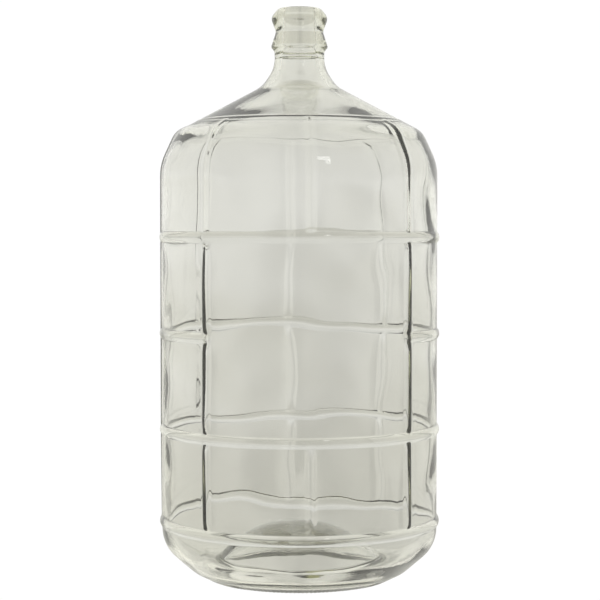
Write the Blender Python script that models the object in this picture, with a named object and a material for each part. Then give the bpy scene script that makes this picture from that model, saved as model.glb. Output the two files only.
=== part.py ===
"""Glass carboy: one blown bottle with hoops, ribs, a blank label panel, a beaded neck and a punt.

The bottle stands on the ground at the origin, +Z up, with the middle of its label panel facing -Y.
Its outer wall and its inner wall are turned separately and welded at the rim. Both have more columns near the
vertical ribs, and the ribs and hoops are then raised on the outer wall, along its normals.
"""

import math

import bmesh
import bpy
from mathutils import Vector

# Driving dimensions, in metres.
HEIGHT = 0.5590
BODY_RADIUS = 0.1354

# Mouth and neck. Depths are measured down from the top of the rim.
MOUTH_RADIUS = 0.0155
THROAT_RADIUS = 0.0150
THROAT_DEPTH = 0.026
NECK_BORE_DEPTH = 0.048
RIM_ROUND = 0.0016
RIM_LAND_WIDTH = 0.0048
LIP_SHOULDER_WIDTH = 0.0062
LIP_DEPTH = 0.0095
LIP_ROUND = 0.0080
GROOVE_RADIUS = 0.0231
GROOVE_DEPTH = 0.0230
GROOVE_ROUND = 0.0026
BEAD_RADIUS = 0.0281
BEAD_DEPTH = 0.0382
BEAD_ROUND = 0.0026
NECK_RADIUS = 0.0244
NECK_TOP_DEPTH = 0.0417
NECK_TOP_ROUND = 0.0030
NECK_FOOT_DEPTH = 0.0580
NECK_FOOT_ROUND = 0.0310

# Shoulder, as the corners of its outline before they are rounded.
CONE_TOP_RADIUS = 0.0366
CONE_TOP_DEPTH = 0.0764
CONE_TOP_ROUND = 0.0310
CONE_EDGE_INSET = 0.0145
CONE_EDGE_DEPTH = 0.1213
CONE_EDGE_ROUND = 0.0205
SHOULDER_DEPTH = 0.1533
SHOULDER_ROUND = 0.0510

# Heel and base. Heights are measured up from the ground.
HEEL_HEIGHT = 0.0337
HEEL_ROUND = 0.0340
TOE_INSET = 0.0294
TOE_HEIGHT = 0.0082
TOE_ROUND = 0.0310
BEARING_INSET = 0.0454
BEARING_WIDTH = 0.0050
PUNT_HEIGHT = 0.0500
PUNT_STEPS = 7

# Glass thickness at the places where the inner outline turns.
BODY_WALL = 0.0048
SHOULDER_WALL = 0.0056
CONE_WALL = 0.0062
NECK_WALL = 0.0072
TOE_WALL = 0.0085
BEARING_WALL = 0.0100
PUNT_WALL = 0.0095
TROUGH_ROUND = 0.0120

# Raised hoops and ribs. All of them share one section.
RIDGE_WIDTH = 0.0120
RIDGE_CREST = 0.0048
RIDGE_HEIGHT = 0.0023
HOOP_HEIGHTS = (0.3351, 0.2411, 0.1471, 0.0567)
RIB_COUNT = 8
RIB_END_INSET = 0.0334

# Facets.
COLUMNS_BETWEEN_RIBS = 3
ARC_STEP = math.radians(15.0)
WELD = 0.00001

GLASS_COLOUR = (0.80, 0.83, 0.76, 1.0)


def clear_objects():
    for obj in list(bpy.data.objects):
        bpy.data.objects.remove(obj, do_unlink=True)


def glass_material():
    material = bpy.data.materials.new("clear_glass")
    material.use_nodes = True
    shader = material.node_tree.nodes["Principled BSDF"]
    shader.inputs["Base Color"].default_value = GLASS_COLOUR
    shader.inputs["Roughness"].default_value = 0.05
    shader.inputs["IOR"].default_value = 1.52
    shader.inputs["Transmission Weight"].default_value = 0.9
    return material


def rounded(corners):
    """The outline through corners of (radius, height, rounding), each rounding made an arc's points."""
    points = [Vector(corners[0][:2])]
    for before, corner, after in zip(corners, corners[1:], corners[2:]):
        apex = Vector(corner[:2])
        rounding = corner[2]
        if rounding == 0.0:
            points.append(apex)
            continue
        back = (Vector(before[:2]) - apex).normalized()
        onward = (Vector(after[:2]) - apex).normalized()
        half = back.angle(onward) / 2.0
        centre = apex + (back + onward).normalized() * (rounding / math.sin(half))
        start = apex + back * (rounding / math.tan(half)) - centre
        end = apex + onward * (rounding / math.tan(half)) - centre
        sweep = math.pi - 2.0 * half
        steps = max(1, math.ceil(sweep / ARC_STEP))
        for step in range(steps + 1):
            share = step / steps
            blend = start * math.sin(sweep * (1.0 - share)) + end * math.sin(sweep * share)
            points.append(centre + blend / math.sin(sweep))
    points.append(Vector(corners[-1][:2]))
    return points


def dome(radius, base, rise):
    """A shallow arc from the outline's radius up to the axis."""
    sphere = (radius ** 2 + rise ** 2) / (2.0 * rise)
    sweep = math.asin(radius / sphere)
    points = []
    for step in range(PUNT_STEPS + 1):
        angle = sweep * (1.0 - step / PUNT_STEPS)
        points.append(Vector((sphere * math.sin(angle), base + rise - sphere * (1.0 - math.cos(angle)))))
    return points


def shoulder_corners():
    """From the foot of the neck down to the body, each with the glass thickness there."""
    return [
        (NECK_RADIUS, HEIGHT - NECK_FOOT_DEPTH, NECK_FOOT_ROUND, NECK_WALL),
        (CONE_TOP_RADIUS, HEIGHT - CONE_TOP_DEPTH, CONE_TOP_ROUND, CONE_WALL),
        (BODY_RADIUS - CONE_EDGE_INSET, HEIGHT - CONE_EDGE_DEPTH, CONE_EDGE_ROUND, SHOULDER_WALL),
        (BODY_RADIUS, HEIGHT - SHOULDER_DEPTH, SHOULDER_ROUND, BODY_WALL),
    ]


def base_corners():
    """From the body down to the ring that the bottle stands on, each with the glass thickness there."""
    return [
        (BODY_RADIUS, HEEL_HEIGHT, HEEL_ROUND, BODY_WALL),
        (BODY_RADIUS - TOE_INSET, TOE_HEIGHT, TOE_ROUND, TOE_WALL),
        (BODY_RADIUS - BEARING_INSET, 0.0, 0.0, BEARING_WALL),
    ]


def rib_end():
    """The point of the shoulder's straight cone where the ribs begin."""
    top, edge = (Vector(corner[:2]) for corner in shoulder_corners()[1:3])
    return top.lerp(edge, (BODY_RADIUS - RIB_END_INSET - top.x) / (edge.x - top.x))


def outer_outline():
    """From the rim's inner edge down the outside to the middle of the punt."""
    land_end = MOUTH_RADIUS + RIM_ROUND + RIM_LAND_WIDTH
    neck_foot, cone_top, *shoulder = [corner[:3] for corner in shoulder_corners()]
    corners = [
        (MOUTH_RADIUS + RIM_ROUND, HEIGHT, 0.0),
        (land_end, HEIGHT, 0.0),
        (land_end + LIP_SHOULDER_WIDTH, HEIGHT - LIP_DEPTH, LIP_ROUND),
        (GROOVE_RADIUS, HEIGHT - GROOVE_DEPTH, GROOVE_ROUND),
        (BEAD_RADIUS, HEIGHT - BEAD_DEPTH, BEAD_ROUND),
        (NECK_RADIUS, HEIGHT - NECK_TOP_DEPTH, NECK_TOP_ROUND),
        neck_foot,
        cone_top,
        (*rib_end(), 0.0),
        *shoulder,
    ]
    for hoop in HOOP_HEIGHTS:
        for offset in (RIDGE_WIDTH / 2, RIDGE_CREST / 2, -RIDGE_CREST / 2, -RIDGE_WIDTH / 2):
            corners.append((BODY_RADIUS, hoop + offset, 0.0))
    punt_edge = BODY_RADIUS - BEARING_INSET - BEARING_WIDTH
    corners += [corner[:3] for corner in base_corners()] + [(punt_edge, 0.0, 0.0)]
    return rounded(corners) + dome(punt_edge, 0.0, PUNT_HEIGHT)[1:]


def inset(before, corner, after):
    """A corner of the outer outline moved in by the glass thickness, rounded so that the wall stays even."""
    wall = corner[3]
    apex = Vector(corner[:2])
    arriving = (apex - Vector(before[:2])).normalized()
    leaving = (Vector(after[:2]) - apex).normalized()
    normals = Vector((-arriving.y, arriving.x)), Vector((-leaving.y, leaving.x))
    moved = apex - (normals[0] + normals[1]) * wall / (1.0 + normals[0].dot(normals[1]))
    hollow = arriving.cross(leaving) > 0.0
    rounding = corner[2] + wall if hollow else max(corner[2] - wall, TROUGH_ROUND)
    return moved.x, moved.y, rounding


def inner_outline():
    """From the rim's inner edge down the inside to the middle of the floor."""
    neck_top = (NECK_RADIUS, HEIGHT - NECK_TOP_DEPTH)
    punt_edge = (BODY_RADIUS - BEARING_INSET - BEARING_WIDTH, 0.0)
    outside = [neck_top, *shoulder_corners(), *base_corners(), punt_edge]
    floor = dome(punt_edge[0], BEARING_WALL, PUNT_HEIGHT + PUNT_WALL - BEARING_WALL)[1:]
    corners = [
        (MOUTH_RADIUS + RIM_ROUND, HEIGHT, 0.0),
        (MOUTH_RADIUS, HEIGHT - RIM_ROUND, 0.0),
        (THROAT_RADIUS, HEIGHT - THROAT_DEPTH, 0.0),
        (NECK_RADIUS - NECK_WALL, HEIGHT - NECK_BORE_DEPTH, 0.0),
        *[inset(*three) for three in zip(outside, outside[1:], outside[2:])],
        (*floor[0], 0.0),
    ]
    return rounded(corners) + floor[1:]


def column_angle(column):
    """The turn of a column: four columns on each rib, and even ones from that rib to the next."""
    per_rib = COLUMNS_BETWEEN_RIBS + 4
    rib, place = divmod(column, per_rib)
    edge = RIDGE_WIDTH / 2 / BODY_RADIUS
    crest = RIDGE_CREST / 2 / BODY_RADIUS
    turns = [-edge, -crest, crest, edge]
    gap = (2.0 * math.pi / RIB_COUNT - 2.0 * edge) / (COLUMNS_BETWEEN_RIBS + 1)
    turns += [edge + gap * (step + 1) for step in range(COLUMNS_BETWEEN_RIBS)]
    return 2.0 * math.pi * rib / RIB_COUNT + turns[place]


def turned(outline):
    """The outline spun about +Z, with its columns gathered on the ribs."""
    columns = RIB_COUNT * (COLUMNS_BETWEEN_RIBS + 4)
    bm = bmesh.new()
    verts = [bm.verts.new((0.0, -point.x, point.y)) for point in outline]
    edges = [bm.edges.new(pair) for pair in zip(verts, verts[1:])]
    bmesh.ops.spin(
        bm,
        geom=verts + edges,
        axis=(0.0, 0.0, 1.0),
        cent=(0.0, 0.0, 0.0),
        steps=columns,
        angle=2.0 * math.pi,
        use_merge=True,
    )
    bmesh.ops.remove_doubles(bm, verts=bm.verts[:], dist=WELD)
    for vert in bm.verts:
        radius = math.hypot(vert.co.x, vert.co.y)
        if radius > WELD:
            turn = math.atan2(vert.co.x, -vert.co.y) % (2.0 * math.pi)
            angle = column_angle(round(turn / (2.0 * math.pi) * columns) % columns)
            vert.co.x = radius * math.sin(angle)
            vert.co.y = -radius * math.cos(angle)
    return bm


def on_crest(distance):
    return abs(distance) < (RIDGE_CREST + RIDGE_WIDTH) / 4


def ridge_share(co):
    """One where a hoop or a rib stands on the outer wall, zero on the plain wall and the label panel."""
    sector = 2.0 * math.pi / RIB_COUNT
    turn = math.atan2(co.x, -co.y)
    rib = round(turn / sector)
    from_rib = (turn - rib * sector) * BODY_RADIUS
    top_hoop, _, lower_hoop, foot_hoop = HOOP_HEIGHTS
    panel_low = lower_hoop + RIDGE_WIDTH / 2 - WELD
    panel_high = top_hoop - RIDGE_WIDTH / 2 + WELD
    in_panel_width = abs(from_rib) > (RIDGE_WIDTH - WELD) / 2 or rib == 0
    if panel_low < co.z < panel_high and abs(turn) < sector and in_panel_width:
        return 0.0
    if any(on_crest(co.z - hoop) for hoop in HOOP_HEIGHTS):
        return 1.0
    below_rib_end = math.hypot(co.x, co.y) > BODY_RADIUS - RIB_END_INSET + WELD
    if on_crest(from_rib) and below_rib_end and co.z > foot_hoop:
        return 1.0
    return 0.0


def raise_ridges(bm):
    bmesh.ops.recalc_face_normals(bm, faces=bm.faces[:])
    if max(bm.faces, key=lambda face: face.calc_center_median().z).normal.z < 0.0:
        bmesh.ops.reverse_faces(bm, faces=bm.faces[:])
    bm.normal_update()
    moves = [(vert, vert.normal * RIDGE_HEIGHT * ridge_share(vert.co)) for vert in bm.verts]
    for vert, move in moves:
        vert.co += move


def glass_vessel():
    """The bottle: both walls in one mesh, welded where they meet on the rim."""
    outer = turned(outer_outline())
    raise_ridges(outer)
    inner = turned(inner_outline())
    mesh = bpy.data.meshes.new("glass_vessel")
    inner.to_mesh(mesh)
    inner.free()
    outer.from_mesh(mesh)
    bmesh.ops.remove_doubles(outer, verts=outer.verts[:], dist=WELD)
    bmesh.ops.recalc_face_normals(outer, faces=outer.faces[:])
    outer.to_mesh(mesh)
    outer.free()
    mesh.shade_smooth()
    mesh.set_sharp_from_angle(angle=math.radians(40.0))
    obj = bpy.data.objects.new("glass_vessel", mesh)
    obj.data.materials.append(glass_material())
    bpy.context.collection.objects.link(obj)
    return obj


def main():
    clear_objects()
    glass_vessel()


main()
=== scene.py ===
"""Clear glass carboy with raised hoops and ribs, standing empty in a soft, pale studio."""

import math

import bmesh
import bpy
from bpy.props import FloatProperty, FloatVectorProperty, IntProperty, PointerProperty
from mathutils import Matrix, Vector, noise


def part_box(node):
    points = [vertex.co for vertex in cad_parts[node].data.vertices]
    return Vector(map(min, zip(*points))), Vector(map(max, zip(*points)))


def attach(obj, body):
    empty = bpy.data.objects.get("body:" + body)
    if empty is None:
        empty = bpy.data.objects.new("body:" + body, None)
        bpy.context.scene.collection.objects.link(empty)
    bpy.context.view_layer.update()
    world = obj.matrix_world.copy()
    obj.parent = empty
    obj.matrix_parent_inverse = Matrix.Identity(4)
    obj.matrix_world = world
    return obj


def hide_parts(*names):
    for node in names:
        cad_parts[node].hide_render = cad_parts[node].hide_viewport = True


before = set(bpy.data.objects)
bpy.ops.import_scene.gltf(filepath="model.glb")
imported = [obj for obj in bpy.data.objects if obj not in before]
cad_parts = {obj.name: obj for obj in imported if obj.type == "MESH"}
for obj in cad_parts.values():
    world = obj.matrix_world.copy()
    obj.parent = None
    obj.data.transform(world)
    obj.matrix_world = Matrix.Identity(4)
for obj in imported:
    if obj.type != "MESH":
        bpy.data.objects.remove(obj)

bl_info = {
    "name": "Glass Carboy",
    "version": (1, 0, 0),
    "blender": (4, 5, 0),
    "location": "View3D > Sidebar > Carboy",
    "description": "Models a blown glass carboy and the studio it stands in",
    "category": "Add Mesh",
}

NODE = "glass_vessel"
CAD_HIGH = Vector(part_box(NODE)[1])

# The mesh, in metres. Depths are measured down from the rim.
WELD = 0.000002
NECK_DEPTH = 0.08
SHOULDER_DEPTH = 0.17
OUTER_PITCH = {"neck": 0.0014, "shoulder": 0.0034, "wall": 0.0110}
INNER_PITCH = {"neck": 0.0028, "shoulder": 0.0050, "wall": 0.0062}
PLAIN_WALL_STRETCH = 0.2
OUTER_DOME_STEPS, INNER_DOME_STEPS = 24, 22
OUTER_HOOP_ROWS, INNER_HOOP_ROWS = 12, 6
CRISP = 0.04  # from a hoop's foot to the rows beside it, as a share of the hoop's width

# The crease round the shoulder: its section across and up, and half its width.
CREASE_SECTION = ((-1.0, 0.0), (-0.55, 0.7), (0.0, 1.0), (0.55, 0.7), (1.0, 0.0))
CREASE_HALF = 0.0008
CREASE_BEFORE_RIBS = 0.001

# The ribs: how far they take to rise on the shoulder, and how much of their height is left at the foot.
RIB_FADE = 0.033
RIB_FOOT_SHARE = 0.45
RIB_GAIN = 0.55

# The inner wall: where it begins to wander, and how strong and how fine its smaller waves are.
STILL_DEPTH = 0.045
WANDER_GROWS = 0.09
SECOND_WAVE, SECOND_FINENESS, SECOND_SHIFT = 0.45, 2.3, Vector((7.0, 3.0, 1.0))
EDGE_WAVE, EDGE_FINENESS, EDGE_DEPTH, EDGE_REACH = 0.20, 4.5, 0.128, 0.030
THIRD_WAVE, THIRD_FINENESS = 0.12, 3.4
GROOVES_FROM_DEPTH = 0.1
LEAST_GROOVE = 0.1
GROOVE_ABOVE_HOOP, GROOVE_GROWS = 0.02, 0.055
GROOVE_GAP = 0.7

# The grip bars in the standing ring.
GRIP_BARS = 144
GRIP_DEPTH = 0.0007
GRIP_INWARD, GRIP_OUTWARD, GRIP_TOP = 0.001, 0.011, 0.009
GRIP_FULLNESS = 1.6
GRIP_CUTS = 3

# The glass.
RIPPLE_SCALE, RIPPLE_SHARE = 38.0, 0.35
PIT_SCALE, PIT_SHARE = 420.0, 2.4
CLOUD_SCALE = 60.0
STIPPLE_FULL, STIPPLE_END = 0.046, 0.066
STIPPLE_SKIN = (0.001, 0.003)
# The punt's frost mask: its roughness is real frost, and its dark olive colour is painted shade for the
# shadow under the bottle seen through the punt.
FROST_AND_SHADE_FROM, FROST_AND_SHADE_FULL = 0.30, 0.60
FROST_ROUGHNESS = 0.35
PUNT_PAINTED_SHADE_COLOUR = (0.32, 0.30, 0.18, 1.0)
CLEAR_SHARE = 0.955
WHITE = (1.0, 1.0, 1.0, 1.0)

# The studio.
STUDIO_WHITE = 1.02
PAPER_COLOUR = (0.62, 0.62, 0.60, 1.0)
FLOOR_DROP = 0.0002
FLOOR_SIDES = 96
LOW_LIGHT = (1.0, 0.99, 0.91, 1.0)
HIGH_LIGHT = (1.0, 0.998, 0.965, 1.0)
LAMP_PLACE = (0.55, -1.6, 1.30)
LAMP_SIZE = (0.16, 0.26)
LAMP_POWER = 0.55
SENSOR_WIDTH = 36.0
LENS_SHIFT = 0.0009


def length(name, description, default):
    return FloatProperty(
        name=name,
        description=description,
        default=default,
        min=0.0,
        unit="LENGTH",
        precision=5,
    )


class CarboySizes(bpy.types.PropertyGroup):
    height: length("Height", "From the ground to the top of the rim", CAD_HIGH.z)
    hoop_height: length("Hoop", "How far the hoops stand out of the wall", 0.0023)
    rib_height: length("Rib", "How far the upright ribs stand out of the wall", 0.0014)
    crease_height: length("Crease", "Height of the fine line round the shoulder", 0.00016)
    hoop_width: length("Hoop width", "Width of a hoop at its foot", 0.0106)
    rib_width: length("Rib width", "Width of a rib at its foot", 0.0120)
    reach: length("Reach", "From the axis to the crest of a hoop", CAD_HIGH.x)
    hoop_heights: FloatVectorProperty(
        name="Hoop heights",
        description="Heights of the four hoops, from the top one down",
        size=4,
        default=(0.3351, 0.2411, 0.1471, 0.0567),
        unit="LENGTH",
    )
    rib_count: IntProperty(
        name="Ribs",
        description="Number of upright ribs round the body",
        default=8,
        min=3,
    )
    rib_end_radius: length("Rib end", "Distance from the axis where the ribs begin on the shoulder", 0.1020)
    mouth_radius: length("Mouth", "Inside radius of the mouth at the rim", 0.0155)
    throat_radius: length("Throat", "Inside radius of the narrowest part of the neck", 0.0150)
    neck_radius: length("Neck", "Outside radius of the neck under its bead", 0.0244)
    bead_radius: length("Bead", "Outside radius of the bead under the lip", 0.0281)
    groove_radius: length("Groove", "Outside radius of the groove between lip and bead", 0.0231)
    body_wall: length("Body wall", "Glass thickness of the body", 0.0048)
    groove_depth: length("Groove behind a hoop", "How far the inner wall follows a hoop", 0.0004)
    rib_groove_depth: length("Groove behind a rib", "How far the inner wall follows a rib, low down", 0.0024)
    punt_height: length("Punt", "How far the middle of the base is pushed up", 0.0500)
    punt_wall: length("Punt wall", "Glass thickness in the middle of the base", 0.0095)
    columns_per_rib: IntProperty(
        name="Rib columns",
        description="Columns across each rib",
        default=8,
        min=4,
    )
    columns_between: IntProperty(
        name="Wall columns",
        description="Columns from rib to rib",
        default=12,
        min=4,
    )


class CarboyGlass(bpy.types.PropertyGroup):
    tint: FloatVectorProperty(
        name="Tint",
        description="Colour that thick glass takes",
        subtype="COLOR",
        size=3,
        default=(0.64, 0.65, 0.30),
        min=0.0,
        max=1.0,
    )
    depth_of_tint: FloatProperty(
        name="Depth of tint",
        description="How quickly the glass takes up its tint, per metre",
        default=12.0,
        min=0.0,
    )
    bend: FloatProperty(
        name="IOR",
        description="Refractive index of soda-lime glass",
        default=1.52,
        min=1.0,
    )
    waviness: length("Waviness", "How far the blown inner wall wanders", 0.0017)
    wave_length: length("Wave length", "Size of the waves in the inner wall", 0.095)


class CarboyStage(bpy.types.PropertyGroup):
    camera_distance: length("Camera distance", "From the camera to the bottle's axis", 1.7347)
    camera_height: length("Camera height", "Height of the lens above the ground", 0.3400)
    aim_height: length("Aim height", "Height on the axis that the camera points at", 0.2731)
    camera_turn: FloatProperty(
        name="Camera turn",
        description="How far the camera stands round to the left of the label panel",
        default=math.radians(4.55),
        subtype="ANGLE",
    )
    focal_length: FloatProperty(
        name="Focal length",
        description="Lens, in millimetres",
        default=105.6,
        min=10.0,
    )
    floor_radius: length("Floor", "Radius of the round floor", 2.4)


def rounded(corners, step):
    """The outline through corners of (radius, height, rounding), with each rounding as an arc's points."""
    points = [Vector(corners[0][:2])]
    for before, corner, after in zip(corners, corners[1:], corners[2:]):
        apex = Vector(corner[:2])
        rounding = corner[2]
        if rounding == 0.0:
            points.append(apex)
            continue
        back = (Vector(before[:2]) - apex).normalized()
        onward = (Vector(after[:2]) - apex).normalized()
        half = back.angle(onward) / 2.0
        centre = apex + (back + onward).normalized() * (rounding / math.sin(half))
        start = apex + back * (rounding / math.tan(half)) - centre
        end = apex + onward * (rounding / math.tan(half)) - centre
        sweep = math.pi - 2.0 * half
        steps = max(2, math.ceil(sweep / step))
        for index in range(steps + 1):
            share = index / steps
            blend = start * math.sin(sweep * (1.0 - share)) + end * math.sin(sweep * share)
            points.append(centre + blend / math.sin(sweep))
    points.append(Vector(corners[-1][:2]))
    return points


def dome(radius, base, rise, steps):
    """A shallow arc from the outline's radius up to the axis."""
    sphere = (radius ** 2 + rise ** 2) / (2.0 * rise)
    sweep = math.asin(radius / sphere)
    points = []
    for index in range(steps + 1):
        angle = sweep * (1.0 - index / steps)
        height = base + rise - sphere * (1.0 - math.cos(angle))
        points.append(Vector((sphere * math.sin(angle), height)))
    return points


def divided(points, longest):
    """The same outline with no stretch longer than longest, a length that may depend on the place."""
    result = [points[0]]
    for start, end in zip(points, points[1:]):
        parts = max(1, math.ceil((end - start).length / longest((start + end) / 2.0) - 0.01))
        result += [start.lerp(end, (part + 1) / parts) for part in range(parts)]
    return result


class Outline:
    """The bottle's outline, outside and inside, from the sizes that the panel holds."""

    def __init__(self, sizes):
        self.sizes = sizes
        self.body = sizes.reach - sizes.hoop_height
        self.arc_step = math.radians(6.0)
        top = sizes.height
        self.land = (sizes.mouth_radius + 0.0016, sizes.mouth_radius + 0.0052)
        self.neck_top = (sizes.neck_radius, top - 0.0417)
        self.shoulder = [
            (sizes.neck_radius, top - 0.0580, 0.0310, 0.0080, 0.0350),
            (0.0366, top - 0.0764, 0.0310, 0.0075, 0.0350),
            (self.body - 0.0145, top - 0.1213, 0.0205, 0.0060, 0.0300),
            (self.body, top - 0.1533, 0.0510, sizes.body_wall, 0.0500),
        ]
        self.base = [
            (self.body, 0.0337, 0.0340, sizes.body_wall, 0.0300),
            (self.body - 0.0294, 0.0082, 0.0310, 0.0068, 0.0300),
            (self.body - 0.0454, 0.0, 0.0, 0.0080, 0.0160),
        ]
        self.bearing = (self.body - 0.0504, self.body - 0.0454)

    def outside(self):
        sizes = self.sizes
        top = sizes.height
        corners = [
            (self.land[0], top, 0.0),
            (self.land[1], top, 0.0060),
            (self.land[1] + 0.0076, top - 0.0092, 0.0075),
            (sizes.groove_radius, top - 0.0230, 0.0060),
            (sizes.bead_radius, top - 0.0382, 0.0028),
            (*self.neck_top, 0.0075),
        ]
        corners += [corner[:3] for corner in self.shoulder]
        corners += [corner[:3] for corner in self.base[:2]]
        corners += [(*self.base[2][:2], 0.0040), (self.bearing[0], 0.0, 0.0020)]
        punt = dome(self.bearing[0], 0.0, sizes.punt_height, OUTER_DOME_STEPS)[1:]
        corners.append((*punt[0], 0.0))
        points = rounded(corners, self.arc_step)[:-1] + punt
        with_hoops = self.with_hoop_rows(points, self.body, OUTER_HOOP_ROWS)
        return divided(self.with_crease(with_hoops), self.outer_pitch)

    def with_crease(self, points):
        """A fine raised line round the shoulder, left where the two parts of the mould met."""
        place = self.sizes.rib_end_radius - CREASE_BEFORE_RIBS
        cone = next(i for i, (a, b) in enumerate(zip(points, points[1:])) if a.x < place < b.x)
        along = (points[cone + 1] - points[cone]).normalized()
        share = (place - points[cone].x) / (points[cone + 1].x - points[cone].x)
        middle = points[cone].lerp(points[cone + 1], share)
        outward = Vector((-along.y, along.x))
        line = []
        for step, rise in CREASE_SECTION:
            line.append(middle + along * (step * CREASE_HALF) + outward * (rise * self.sizes.crease_height))
        return points[:cone + 1] + line + points[cone + 1:]

    def with_hoop_rows(self, points, radius, rows):
        """Rows across each hoop for a round section, and one on each side of a foot to keep it crisp."""
        stretches = enumerate(zip(points, points[1:]))
        wall = next(i for i, (a, b) in stretches if (a - b).length > PLAIN_WALL_STRETCH)
        extra = []
        for hoop in self.sizes.hoop_heights:
            upper = [0.5 + CRISP, 0.5, 0.5 - CRISP]
            middle = [0.5 - row / rows for row in range(1, rows)]
            for share in [*upper, *middle, *(-share for share in reversed(upper))]:
                height = hoop + self.sizes.hoop_width * share
                if points[wall].y > height > points[wall + 1].y:
                    extra.append(Vector((radius, height)))
        return points[:wall + 1] + extra + points[wall + 1:]

    def outer_pitch(self, place):
        """The longest stretch of the outside: short in the neck, long on the plain wall."""
        if place.y > self.sizes.height - NECK_DEPTH:
            return OUTER_PITCH["neck"]
        if place.y > self.sizes.height - SHOULDER_DEPTH:
            return OUTER_PITCH["shoulder"]
        return OUTER_PITCH["wall" if place.x > self.body - 0.001 else "shoulder"]

    def inner_pitch(self, place):
        """The longest stretch of the inside."""
        if place.y > self.sizes.height - NECK_DEPTH:
            return INNER_PITCH["neck"]
        return INNER_PITCH["wall" if place.x > self.body - 0.02 else "shoulder"]

    def inset(self, before, corner, after):
        """A corner of the outside moved in by the glass thickness, with its own rounding."""
        wall, rounding = corner[3:]
        apex = Vector(corner[:2])
        arriving = (apex - Vector(before[:2])).normalized()
        leaving = (Vector(after[:2]) - apex).normalized()
        normals = Vector((-arriving.y, arriving.x)), Vector((-leaving.y, leaving.x))
        moved = apex - (normals[0] + normals[1]) * wall / (1.0 + normals[0].dot(normals[1]))
        return moved.x, moved.y, rounding

    def inside(self):
        """The blown side. Its roundings low in the neck and at the foot of the punt are longer than the
        straights that they sit on, so the outline runs back on itself there by 1.4 mm and by 2.5 mm."""
        sizes = self.sizes
        top = sizes.height
        outside = [self.neck_top, *self.shoulder, *self.base, (self.bearing[0], 0.0)]
        wall = self.base[2][3]
        rise = sizes.punt_height + sizes.punt_wall - wall
        floor = dome(self.bearing[0], wall, rise, INNER_DOME_STEPS)[1:]
        corners = [
            (self.land[0], top, 0.0),
            (sizes.mouth_radius, top - 0.0016, 0.0012),
            (sizes.throat_radius, top - 0.0260, 0.0200),
            (sizes.neck_radius - 0.0072, top - 0.0480, 0.0200),
            *[self.inset(*three) for three in zip(outside, outside[1:], outside[2:])],
            (*floor[0], 0.0),
        ]
        points = rounded(corners, self.arc_step)[:-1] + floor
        with_hoops = self.with_hoop_rows(points, self.body - sizes.body_wall, INNER_HOOP_ROWS)
        return divided(with_hoops, self.inner_pitch)


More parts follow.
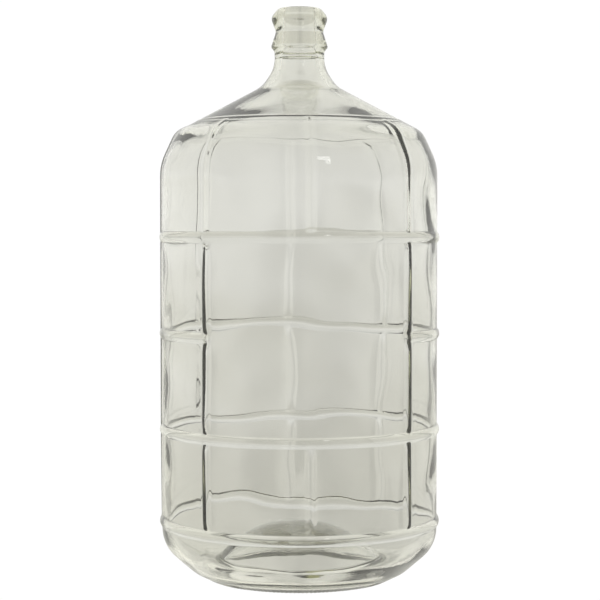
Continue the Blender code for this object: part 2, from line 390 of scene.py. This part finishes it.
class Vessel:
    """The bottle's mesh: both walls turned, with their columns gathered on the ribs, and then shaped."""

    def __init__(self, sizes, glass):
        self.sizes = sizes
        self.glass = glass
        self.outline = Outline(sizes)
        self.sector = 2.0 * math.pi / sizes.rib_count
        self.per_sector = sizes.columns_per_rib + sizes.columns_between
        self.columns = sizes.rib_count * self.per_sector

    def column_angle(self, column, radius):
        """The turn of a column: close columns across each rib, wide ones between ribs."""
        sizes = self.sizes
        rib, place = divmod(column, self.per_sector)
        edge = sizes.rib_width / 2.0 / max(radius, sizes.rib_end_radius)
        if place <= sizes.columns_per_rib:
            turn = edge * (2.0 * place / sizes.columns_per_rib - 1.0)
        else:
            share = (place - sizes.columns_per_rib) / sizes.columns_between
            turn = edge + (self.sector - 2.0 * edge) * share
        return self.sector * rib + turn

    def turned(self, outline):
        """The outline spun round the axis, welded, and with its faces turned outwards at the top."""
        bm = bmesh.new()
        verts = [bm.verts.new((0.0, -point.x, point.y)) for point in outline]
        edges = [bm.edges.new(pair) for pair in zip(verts, verts[1:])]
        bmesh.ops.spin(
            bm,
            geom=verts + edges,
            axis=(0.0, 0.0, 1.0),
            cent=(0.0, 0.0, 0.0),
            steps=self.columns,
            angle=2.0 * math.pi,
            use_merge=True,
        )
        bmesh.ops.remove_doubles(bm, verts=bm.verts[:], dist=WELD)
        for vert in bm.verts:
            radius = math.hypot(vert.co.x, vert.co.y)
            if radius > WELD:
                turn = math.atan2(vert.co.x, -vert.co.y) % (2.0 * math.pi)
                column = round(turn / (2.0 * math.pi) * self.columns) % self.columns
                angle = self.column_angle(column, radius)
                vert.co.x = radius * math.sin(angle)
                vert.co.y = -radius * math.cos(angle)
        bmesh.ops.recalc_face_normals(bm, faces=bm.faces[:])
        if max(bm.faces, key=lambda face: face.calc_center_median().z).normal.z < 0.0:
            bmesh.ops.reverse_faces(bm, faces=bm.faces[:])
        bm.normal_update()
        return bm

    def relief(self, co, hoop_height, rib_height):
        """How far a wall is raised: hoops, ribs and the blank label panel between them."""
        sizes = self.sizes
        radius = math.hypot(co.x, co.y)
        turn = math.atan2(co.x, -co.y)
        rib = round(turn / self.sector)
        across = (turn - rib * self.sector) * radius
        top_hoop, panel_hoop, lower_hoop, foot_hoop = sizes.hoop_heights
        rise = 0.0
        for hoop in sizes.hoop_heights:
            on_panel = hoop == panel_hoop and abs(turn) < self.sector
            if not on_panel:
                rise = max(rise, self.cap(co.z - hoop) * hoop_height)
        rib_on_panel = rib == 0 and lower_hoop < co.z < top_hoop
        if co.z > foot_hoop and radius > sizes.rib_end_radius and not rib_on_panel:
            fade = min(1.0, (radius - sizes.rib_end_radius) / RIB_FADE)
            rise = max(rise, self.swell(across) * math.sin(fade * math.pi / 2.0) * rib_height)
        return rise

    def cap(self, distance):
        """The section of a hoop, the cap of a circle: one at its middle, none at its feet."""
        half = self.sizes.hoop_width / 2.0
        rise = self.sizes.hoop_height
        if abs(distance) >= half:
            return 0.0
        circle = (half ** 2 + rise ** 2) / (2.0 * rise)
        return (math.sqrt(circle ** 2 - distance ** 2) - (circle - rise)) / rise

    def swell(self, distance):
        """The soft section of a rib: one at its middle, none at its feet."""
        share = distance / (self.sizes.rib_width / 2.0)
        return 0.5 + 0.5 * math.cos(math.pi * share) if abs(share) < 1.0 else 0.0

    def rib_crest(self, height):
        """How far a rib stands out: least at the foot of the body, in full from the third hoop upwards."""
        lower_hoop, foot_hoop = self.sizes.hoop_heights[2:]
        up = min(1.0, max(0.0, (height - foot_hoop) / (lower_hoop - foot_hoop)))
        return self.sizes.rib_height * (RIB_FOOT_SHARE + RIB_GAIN * up)

    def raise_ridges(self, bm):
        """Push the hoops and ribs out of the outer wall."""
        low = self.sizes.hoop_heights[3] - self.sizes.hoop_width
        moves = []
        for vert in bm.verts:
            if vert.co.z > low:
                rise = self.relief(vert.co, self.sizes.hoop_height, self.rib_crest(vert.co.z))
                if rise > 0.0:
                    moves.append((vert, vert.normal * rise))
        for vert, move in moves:
            vert.co += move

    def wander(self, bm):
        """The blown inner wall: still in the neck, wandering below it, with grooves behind the ridges."""
        glass = self.glass
        sizes = self.sizes
        moves = []
        for vert in bm.verts:
            co = vert.co
            below_rim = sizes.height - co.z
            share = min(1.0, max(0.0, (below_rim - STILL_DEPTH) / WANDER_GROWS))
            if share > 0.0:
                place = co / glass.wave_length
                second = noise.noise(place * SECOND_FINENESS + SECOND_SHIFT)
                wave = noise.noise(place) + SECOND_WAVE * second
                edge = max(0.0, 1.0 - abs(below_rim - EDGE_DEPTH) / EDGE_REACH)
                at_edge = EDGE_WAVE * edge * noise.noise(place * EDGE_FINENESS)
                wave += at_edge + THIRD_WAVE * noise.noise(place * THIRD_FINENESS)
                moves.append((vert, vert.normal * (wave * glass.waviness * share)))
            if co.z > sizes.hoop_heights[3] - sizes.hoop_width and below_rim > GROOVES_FROM_DEPTH:
                below_top = sizes.hoop_heights[0] + GROOVE_ABOVE_HOOP - co.z
                blown_in = min(1.0, max(LEAST_GROOVE, below_top / GROOVE_GROWS))
                blown_in *= 1.0 - max(self.cap(GROOVE_GAP * (co.z - hoop)) for hoop in sizes.hoop_heights)
                groove = self.relief(co, sizes.groove_depth, sizes.rib_groove_depth * blown_in)
                moves.append((vert, Vector((co.x, co.y, 0.0)).normalized() * groove))
        for vert, move in moves:
            vert.co += move

    def knurl(self, bm):
        """Short grip bars pressed into the ring that the bottle stands on."""
        inner = self.outline.bearing[0] - GRIP_INWARD
        outer = self.outline.bearing[1] + GRIP_OUTWARD

        def on_ring(vert):
            return inner < math.hypot(vert.co.x, vert.co.y) < outer and vert.co.z < GRIP_TOP

        ring = [edge for edge in bm.edges if all(on_ring(vert) for vert in edge.verts)]
        around = []
        for edge in ring:
            first, second = (math.hypot(vert.co.x, vert.co.y) for vert in edge.verts)
            if abs(first - second) < 0.0001:
                around.append(edge)
        bmesh.ops.subdivide_edges(bm, edges=around, cuts=GRIP_CUTS, use_grid_fill=True)
        middle, half = (inner + outer) / 2.0, (outer - inner) / 2.0
        for vert in bm.verts:
            if on_ring(vert):
                radius = math.hypot(vert.co.x, vert.co.y)
                turn = math.atan2(vert.co.x, -vert.co.y)
                bar = 0.5 - 0.5 * math.cos(turn * GRIP_BARS)
                reach = max(0.0, 1.0 - ((radius - middle) / half) ** 2)
                vert.co.z += GRIP_DEPTH * bar * min(1.0, reach * GRIP_FULLNESS)

    def make(self):
        """Both walls as one closed mesh, welded where they meet at the rim."""
        outer = self.turned(self.outline.outside())
        self.raise_ridges(outer)
        self.knurl(outer)
        inner = self.turned(self.outline.inside())
        self.wander(inner)
        mesh = bpy.data.meshes.new("carboy_glass")
        inner.to_mesh(mesh)
        inner.free()
        outer.from_mesh(mesh)
        bmesh.ops.remove_doubles(outer, verts=outer.verts[:], dist=WELD)
        bmesh.ops.recalc_face_normals(outer, faces=outer.faces[:])
        outer.to_mesh(mesh)
        outer.free()
        mesh.shade_smooth()
        obj = bpy.data.objects.new("carboy_glass", mesh)
        bpy.context.collection.objects.link(obj)
        return obj


class Value:
    """A number in a node tree, so that shader maths reads as Python."""

    def __init__(self, tree, socket):
        self.tree = tree
        self.socket = socket

    def maths(self, operation, *others):
        node = self.tree.nodes.new("ShaderNodeMath")
        node.operation = operation
        for slot, value in zip(node.inputs, (self, *others)):
            if isinstance(value, Value):
                self.tree.links.new(value.socket, slot)
            else:
                slot.default_value = value
        return Value(self.tree, node.outputs[0])

    def constant(self, number):
        node = self.tree.nodes.new("ShaderNodeValue")
        node.outputs[0].default_value = number
        return Value(self.tree, node.outputs[0])

    def __add__(self, other):
        return self.maths("ADD", other)

    def __sub__(self, other):
        return self.maths("SUBTRACT", other)

    def __mul__(self, other):
        return self.maths("MULTIPLY", other)

    def __rsub__(self, other):
        return self.constant(other) - self

    __radd__ = __add__
    __rmul__ = __mul__

    def smooth(self, low, high):
        """Zero below low, one above high."""
        node = self.tree.nodes.new("ShaderNodeMapRange")
        node.interpolation_type = "SMOOTHSTEP"
        node.inputs["From Min"].default_value = low
        node.inputs["From Max"].default_value = high
        self.tree.links.new(self.socket, node.inputs["Value"])
        return Value(self.tree, node.outputs["Result"])


class Graph:
    """A node tree, to which a node is added by its type, its settings, and its inputs' values or links."""

    def __init__(self, tree):
        self.tree = tree

    def node(self, kind, settings=None, inputs=None):
        node = self.tree.nodes.new(kind)
        for name, value in (settings or {}).items():
            setattr(node, name, value)
        for name, value in (inputs or {}).items():
            if isinstance(value, Value):
                value = value.socket
            if isinstance(value, bpy.types.NodeSocket):
                self.tree.links.new(value, node.inputs[name])
            else:
                node.inputs[name].default_value = value
        return node

    def value(self, socket):
        return Value(self.tree, socket)


def glass_material(glass, outline):
    """Tinted glass that is rippled all over, pitted and frosted on the punt, and darkened there by painted
    shade.
    """
    punt = outline.sizes.punt_height
    material = bpy.data.materials.new("clear_glass")
    material.use_nodes = True
    material.node_tree.nodes.clear()
    graph = Graph(material.node_tree)
    place = graph.node("ShaderNodeTexCoord").outputs["Object"]
    ripple = graph.node("ShaderNodeTexNoise", inputs={"Vector": place, "Scale": RIPPLE_SCALE, "Detail": 2.0})
    pits = graph.node("ShaderNodeTexNoise", inputs={"Vector": place, "Scale": PIT_SCALE, "Detail": 3.0})
    apart = graph.node("ShaderNodeSeparateXYZ", inputs={"Vector": place})
    x, y, z = (graph.value(apart.outputs[name]) for name in "XYZ")
    from_axis = (x * x + y * y).maths("SQRT")
    sphere = (outline.bearing[0] ** 2 + punt ** 2) / (2.0 * punt)
    from_middle = z - (punt - sphere)
    from_centre = (from_axis * from_axis + from_middle * from_middle).maths("SQRT")
    off_skin = from_centre.smooth(sphere + STIPPLE_SKIN[0], sphere + STIPPLE_SKIN[1])
    stipple = (1.0 - from_axis.smooth(STIPPLE_FULL, STIPPLE_END)) * (1.0 - off_skin)
    pitted = graph.value(pits.outputs["Fac"]) * stipple * PIT_SHARE
    relief = graph.value(ripple.outputs["Fac"]) * RIPPLE_SHARE + pitted
    bump = graph.node("ShaderNodeBump", inputs={"Strength": 0.30, "Distance": 0.0006, "Height": relief})
    cloud = graph.node("ShaderNodeTexNoise", inputs={"Vector": place, "Scale": CLOUD_SCALE, "Detail": 4.0})
    # Real frost as roughness, and painted shade as the darker colour: the shadow under the bottle seen
    # through the punt.
    frost_and_painted_shade = stipple * graph.value(cloud.outputs["Fac"]).smooth(FROST_AND_SHADE_FROM, FROST_AND_SHADE_FULL)
    body = graph.node(
        "ShaderNodeMix",
        {"data_type": "RGBA"},
        {"Factor": frost_and_painted_shade, "A": WHITE, "B": PUNT_PAINTED_SHADE_COLOUR},
    )
    shader = graph.node(
        "ShaderNodeBsdfPrincipled",
        inputs={
            "Base Color": body.outputs["Result"],
            "Roughness": frost_and_painted_shade * FROST_ROUGHNESS,
            "IOR": glass.bend,
            "Transmission Weight": CLEAR_SHARE,
            "Normal": bump.outputs["Normal"],
        },
    )
    depth = graph.node(
        "ShaderNodeVolumeAbsorption",
        inputs={"Color": (*glass.tint, 1.0), "Density": glass.depth_of_tint},
    )
    graph.node(
        "ShaderNodeOutputMaterial",
        inputs={"Surface": shader.outputs["BSDF"], "Volume": depth.outputs["Volume"]},
    )
    return material


class CARBOY_OT_vessel(bpy.types.Operator):
    """Make the glass vessel and let it stand for the plain solid"""

    bl_idname = "carboy.vessel"
    bl_label = "Glass Vessel"

    def execute(self, context):
        vessel = Vessel(context.scene.carboy_sizes, context.scene.carboy_glass)
        piece = vessel.make()
        piece.data.materials.append(glass_material(context.scene.carboy_glass, vessel.outline))
        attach(piece, "root")
        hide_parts(NODE)
        return {"FINISHED"}


def make_floor(radius):
    """A round floor, white to the camera and paper-grey to the light, that the glass doesn't show."""
    bm = bmesh.new()
    bmesh.ops.create_circle(bm, cap_ends=True, radius=radius, segments=FLOOR_SIDES)
    mesh = bpy.data.meshes.new("studio_floor")
    bm.to_mesh(mesh)
    bm.free()
    floor = bpy.data.objects.new("studio_floor", mesh)
    bpy.context.collection.objects.link(floor)
    material = bpy.data.materials.new("studio_floor")
    material.use_nodes = True
    material.node_tree.nodes.clear()
    graph = Graph(material.node_tree)
    path = graph.node("ShaderNodeLightPath")
    paper = graph.node("ShaderNodeBsdfDiffuse", inputs={"Color": PAPER_COLOUR})
    white = graph.node("ShaderNodeEmission", inputs={"Color": WHITE, "Strength": STUDIO_WHITE})
    seen = graph.node(
        "ShaderNodeMixShader",
        inputs={0: path.outputs["Is Camera Ray"], 1: paper.outputs["BSDF"], 2: white.outputs["Emission"]},
    )
    graph.node("ShaderNodeOutputMaterial", inputs={"Surface": seen.outputs["Shader"]})
    mesh.materials.append(material)
    floor.location.z = -FLOOR_DROP
    floor.visible_transmission = False
    floor.visible_glossy = False


def make_world(scene):
    """The light round the bottle: brightest behind it, weaker low down, overhead and in its middle."""
    world = bpy.data.worlds.new("studio")
    scene.world = world
    world.use_nodes = True
    world.node_tree.nodes.clear()
    graph = Graph(world.node_tree)
    direction = graph.node("ShaderNodeTexCoord").outputs["Generated"]
    apart = graph.node("ShaderNodeSeparateXYZ", inputs={"Vector": direction})
    x, y, z = (graph.value(apart.outputs[name]) for name in "XYZ")
    behind = y.smooth(-0.10, 0.55)
    height = z.smooth(-0.16, 0.05)
    below = (1.0 - height) * z.smooth(-0.50, -0.22)
    aside = (x - 0.09 * y).maths("ABSOLUTE")
    middle = 1.0 - aside.smooth(0.0, 0.075)
    above = z.smooth(0.02, 0.10)
    shadow = middle * (1.0 - 0.55 * z.smooth(-0.03, 0.03))
    round_about = 0.60 + behind * (0.30 + 0.09 * aside.smooth(0.12, 0.40))
    light = round_about * (1.0 - 0.22 * below - 0.07 * above) * (1.0 - 0.17 * shadow)
    path = graph.node("ShaderNodeLightPath")
    warmth = graph.node(
        "ShaderNodeMix",
        {"data_type": "RGBA"},
        {"Factor": height, "A": LOW_LIGHT, "B": HIGH_LIGHT},
    )
    soft = graph.node(
        "ShaderNodeBackground",
        inputs={"Color": warmth.outputs["Result"], "Strength": light},
    )
    plain = graph.node("ShaderNodeBackground", inputs={"Color": WHITE, "Strength": STUDIO_WHITE})
    seen = graph.node(
        "ShaderNodeMixShader",
        inputs={
            0: path.outputs["Is Camera Ray"],
            1: soft.outputs["Background"],
            2: plain.outputs["Background"],
        },
    )
    graph.node("ShaderNodeOutputWorld", inputs={"Surface": seen.outputs["Shader"]})


def add_softbox(name, place, target, size, power):
    light = bpy.data.lights.new(name, "AREA")
    light.shape = "RECTANGLE"
    light.size, light.size_y = size
    light.energy = power
    lamp = bpy.data.objects.new(name, light)
    lamp.location = place
    lamp.rotation_mode = "QUATERNION"
    lamp.rotation_quaternion = (Vector(target) - Vector(place)).to_track_quat("-Z", "Y")
    bpy.context.collection.objects.link(lamp)
    lamp.visible_camera = False


class CARBOY_OT_stage(bpy.types.Operator):
    """Make the floor, the light round the bottle, the lamp and the camera"""

    bl_idname = "carboy.stage"
    bl_label = "Studio"

    def execute(self, context):
        stage = context.scene.carboy_stage
        make_floor(stage.floor_radius)
        make_world(context.scene)
        middle = Vector((0.0, 0.0, CAD_HIGH.z / 2.0))
        add_softbox("softbox", LAMP_PLACE, middle, LAMP_SIZE, LAMP_POWER)
        data = bpy.data.cameras.new("camera")
        data.lens = stage.focal_length
        data.sensor_width = SENSOR_WIDTH
        data.shift_x = LENS_SHIFT
        camera = bpy.data.objects.new("camera", data)
        place = Vector((
            -stage.camera_distance * math.sin(stage.camera_turn),
            -stage.camera_distance * math.cos(stage.camera_turn),
            stage.camera_height,
        ))
        camera.location = place
        camera.rotation_mode = "QUATERNION"
        aim = Vector((0.0, 0.0, stage.aim_height))
        camera.rotation_quaternion = (aim - place).to_track_quat("-Z", "Y")
        context.collection.objects.link(camera)
        context.scene.camera = camera
        context.scene.view_settings.view_transform = "Standard"
        return {"FINISHED"}


class CARBOY_PT_panel(bpy.types.Panel):
    """Lists the carboy's sizes and the steps that make it"""

    bl_label = "Glass Carboy"
    bl_idname = "CARBOY_PT_panel"
    bl_space_type = "VIEW_3D"
    bl_region_type = "UI"
    bl_category = "Carboy"

    def draw(self, context):
        for group in (context.scene.carboy_sizes, context.scene.carboy_glass, context.scene.carboy_stage):
            box = self.layout.box()
            for name in group.bl_rna.properties.keys():
                if name not in {"rna_type", "name"}:
                    box.prop(group, name)
        for operator in (CARBOY_OT_vessel, CARBOY_OT_stage):
            self.layout.operator(operator.bl_idname)


CLASSES = (CarboySizes, CarboyGlass, CarboyStage, CARBOY_OT_vessel, CARBOY_OT_stage, CARBOY_PT_panel)


def register():
    for item in CLASSES:
        bpy.utils.register_class(item)
    bpy.types.Scene.carboy_sizes = PointerProperty(type=CarboySizes)
    bpy.types.Scene.carboy_glass = PointerProperty(type=CarboyGlass)
    bpy.types.Scene.carboy_stage = PointerProperty(type=CarboyStage)


def unregister():
    del bpy.types.Scene.carboy_stage
    del bpy.types.Scene.carboy_glass
    del bpy.types.Scene.carboy_sizes
    for item in reversed(CLASSES):
        bpy.utils.unregister_class(item)


def main():
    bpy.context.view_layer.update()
    register()
    bpy.ops.carboy.vessel()
    bpy.ops.carboy.stage()


if __name__ == "__main__":
    main()
